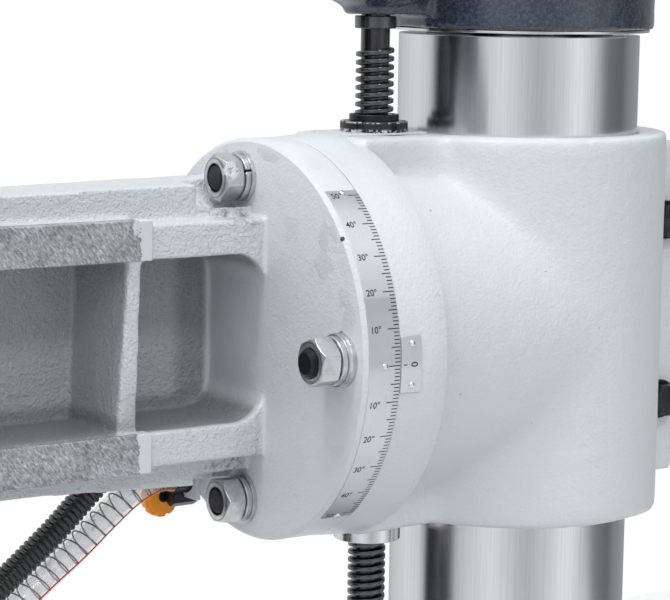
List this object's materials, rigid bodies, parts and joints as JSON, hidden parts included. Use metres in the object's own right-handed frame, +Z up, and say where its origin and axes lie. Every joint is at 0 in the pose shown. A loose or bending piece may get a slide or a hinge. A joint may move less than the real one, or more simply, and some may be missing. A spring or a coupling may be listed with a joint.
{
  "type": "radial arm drill",
  "caption": "Floor-standing radial arm drill: T-slotted base, round column, swinging and lifting arm that tilts on a graduated flange, and a drill head that travels along it.",
  "frame": {"origin": "on the floor, on the axis of the column", "axes": "+Z up along the column; the arm points along -X; the operator stands on the -Y side"},
  "size_m": [1.44, 0.6523, 1.8545],
  "materials": {
    "base_paint": "satin, cast texture",
    "machine_paint": "light blue-grey enamel on a cast surface",
    "hammertone": "slate blue hammertone",
    "motor_paint": "satin enamel",
    "dark_paint": "satin enamel",
    "ground_steel": "ground",
    "bearing_steel": "polished",
    "gear_steel": "machined, oiled",
    "black_steel": "black oxide, oiled",
    "zinc": "bright zinc",
    "chrome": "polished",
    "plate_metal": "satin, printed",
    "lever_metal": "satin black",
    "wheel_metal": "polished rim",
    "orange_plastic": "moulded",
    "dark_plastic": "moulded",
    "black_plastic": "moulded",
    "red_plastic": "moulded",
    "green_plastic": "moulded",
    "clear_hose": "clear hose with a wire spiral",
    "black_hose": "corrugated"
  },
  "bodies": {
    "base": {"base_plate": "base_paint", "column_foot": "machine_paint", "foot_bolts": "black_steel", "column_tube": "ground_steel", "column_plug": "bearing_steel"},
    "swing": {"top_cap": "hammertone", "cap_plate": "plate_metal", "swing_bearing": "bearing_steel", "cap_lid": "hammertone", "lift_motor": "motor_paint", "lift_fan_cover": "dark_paint", "screw_bearing": "bearing_steel"},
    "lift_screw": {"elevating_screw": "black_steel", "lift_gear": "gear_steel"},
    "lift_pinion_shaft": {"lift_pinion": "gear_steel"},
    "sleeve": {"arm_sleeve": "machine_paint", "lift_nut": "zinc", "nut_lock_ring": "black_steel", "nut_washer": "black_steel", "nut_plate": "machine_paint", "zero_plate": "plate_metal", "zero_rivets": "plate_metal", "pivot_pin": "bearing_steel", "sleeve_clamp_bolts": "black_steel"},
    "arm": {"arm_casting": "machine_paint", "scale_plate": "plate_metal", "scale_rivets": "plate_metal", "flange_studs": "black_steel", "flange_nuts": "zinc", "spring_washers": "zinc", "flat_washers": "zinc", "traverse_rack": "gear_steel", "arm_stops": "black_steel", "valve_bracket": "black_steel", "valve_body": "black_steel", "junction_box": "dark_plastic", "coolant_hose": "clear_hose", "power_conduit": "black_hose"},
    "valve_handle": {"valve_knob": "orange_plastic"},
    "head": {"head_casting": "machine_paint", "head_keeper": "black_steel", "head_top_cover": "hammertone", "drive_motor": "motor_paint", "motor_fan_cover": "dark_paint", "spindle_cover": "hammertone", "control_panel": "dark_paint", "hose_fittings": "dark_plastic"},
    "motor_shaft": {"motor_pinion": "gear_steel"},
    "drive_sleeve": {"drive_gear": "gear_steel"},
    "stop": {"stop_button": "red_plastic"},
    "start": {"start_button": "green_plastic"},
    "speed_selector": {"speed_lever": "lever_metal"},
    "head_clamp": {"head_clamp_lever": "lever_metal"},
    "feed_handle": {"feed_hub": "lever_metal", "feed_spokes": "chrome"},
    "traverse_wheel": {"traverse_handwheel": "wheel_metal"},
    "crank_grip": {"wheel_grip": "black_plastic"},
    "quill": {"quill": "ground_steel", "quill_bearings": "bearing_steel"},
    "spindle": {"spindle": "ground_steel"}
  },
  "joints": [
    {"name": "arm_swing", "type": "hinge", "parent": "base", "child": "swing", "pos_m": [0, 0, 1.5765], "axis": [0, 0, 1], "range_deg": [-180, 180]},
    {"name": "arm_lift", "type": "slide", "parent": "swing", "child": "sleeve", "axis": [0, 0, 1], "range_m": [-0.7, 0.04]},
    {"name": "lift_screw_turn", "type": "hinge", "parent": "swing", "child": "lift_screw", "pos_m": [-0.132, 0, 1.4], "axis": [0, 0, 1], "continuous": true},
    {"name": "lift_pinion_turn", "type": "hinge", "parent": "swing", "child": "lift_pinion_shaft", "pos_m": [-0.084, 0, 1.61], "axis": [0, 0, 1], "continuous": true},
    {"name": "arm_tilt", "type": "hinge", "parent": "sleeve", "child": "arm", "pos_m": [-0.2085, 0, 1.35], "axis": [1, 0, 0], "range_deg": [-45, 45]},
    {"name": "valve_turn", "type": "hinge", "parent": "arm", "child": "valve_handle", "pos_m": [-0.249, 0.102, 1.219], "axis": [0, 1, 0], "range_deg": [0, 90]},
    {"name": "head_traverse", "type": "slide", "parent": "arm", "child": "head", "axis": [1, 0, 0], "range_m": [-0.22, 0.245], "deforming": ["coolant_hose", "power_conduit"]},
    {"name": "handwheel_turn", "type": "hinge", "parent": "head", "child": "traverse_wheel", "pos_m": [-0.734, -0.3, 1.234], "axis": [0, 1, 0], "range_deg": [-670, 602]},
    {"name": "grip_spin", "type": "hinge", "parent": "traverse_wheel", "child": "crank_grip", "pos_m": [-0.7005, -0.34, 1.29202], "axis": [0, 1, 0], "continuous": true},
    {"name": "speed_select", "type": "hinge", "parent": "head", "child": "speed_selector", "pos_m": [-0.85, -0.3, 1.32], "axis": [0, 1, 0], "range_deg": [-35, 35]},
    {"name": "head_clamp_turn", "type": "hinge", "parent": "head", "child": "head_clamp", "pos_m": [-0.862, -0.3, 1.2], "axis": [0, 1, 0], "range_deg": [0, 60]},
    {"name": "stop_press", "type": "slide", "parent": "head", "child": "stop", "axis": [0, 1, 0], "range_m": [0, 0.004], "stiffness_N_per_m": 600, "springref_m": -0.002},
    {"name": "start_press", "type": "slide", "parent": "head", "child": "start", "axis": [0, 1, 0], "range_m": [0, 0.003], "stiffness_N_per_m": 600, "springref_m": -0.002},
    {"name": "motor_turn", "type": "hinge", "parent": "head", "child": "motor_shaft", "pos_m": [-0.8, -0.08, 1.45], "axis": [0, 0, 1], "continuous": true},
    {"name": "drive_turn", "type": "hinge", "parent": "head", "child": "drive_sleeve", "pos_m": [-0.8, -0.19, 1.42], "axis": [0, 0, 1], "continuous": true},
    {"name": "quill_feed", "type": "slide", "parent": "head", "child": "quill", "axis": [0, 0, -1], "range_m": [0, 0.16], "stiffness_N_per_m": 300, "springref_m": -0.3},
    {"name": "feed_turn", "type": "hinge", "parent": "head", "child": "feed_handle", "pos_m": [-0.905, -0.24475, 1.195], "axis": [-1, 0, 0], "range_deg": [0, 460]},
    {"name": "spindle_turn", "type": "hinge", "parent": "quill", "child": "spindle", "pos_m": [-0.8, -0.19, 1.25], "axis": [0, 0, 1], "continuous": true}
  ],
  "couplings": [
    {"joint": "lift_screw_turn", "follows": "arm_lift", "rad_per_m": -1047.2},
    {"joint": "lift_pinion_turn", "follows": "arm_lift", "rad_per_m": 2303.8},
    {"joint": "handwheel_turn", "follows": "head_traverse", "rad_per_m": -47.619},
    {"joint": "feed_turn", "follows": "quill_feed", "rad_per_m": 50},
    {"joint": "motor_turn", "follows": "drive_turn", "ratio": -2.1429},
    {"joint": "spindle_turn", "follows": "drive_turn", "ratio": 1}
  ]
}
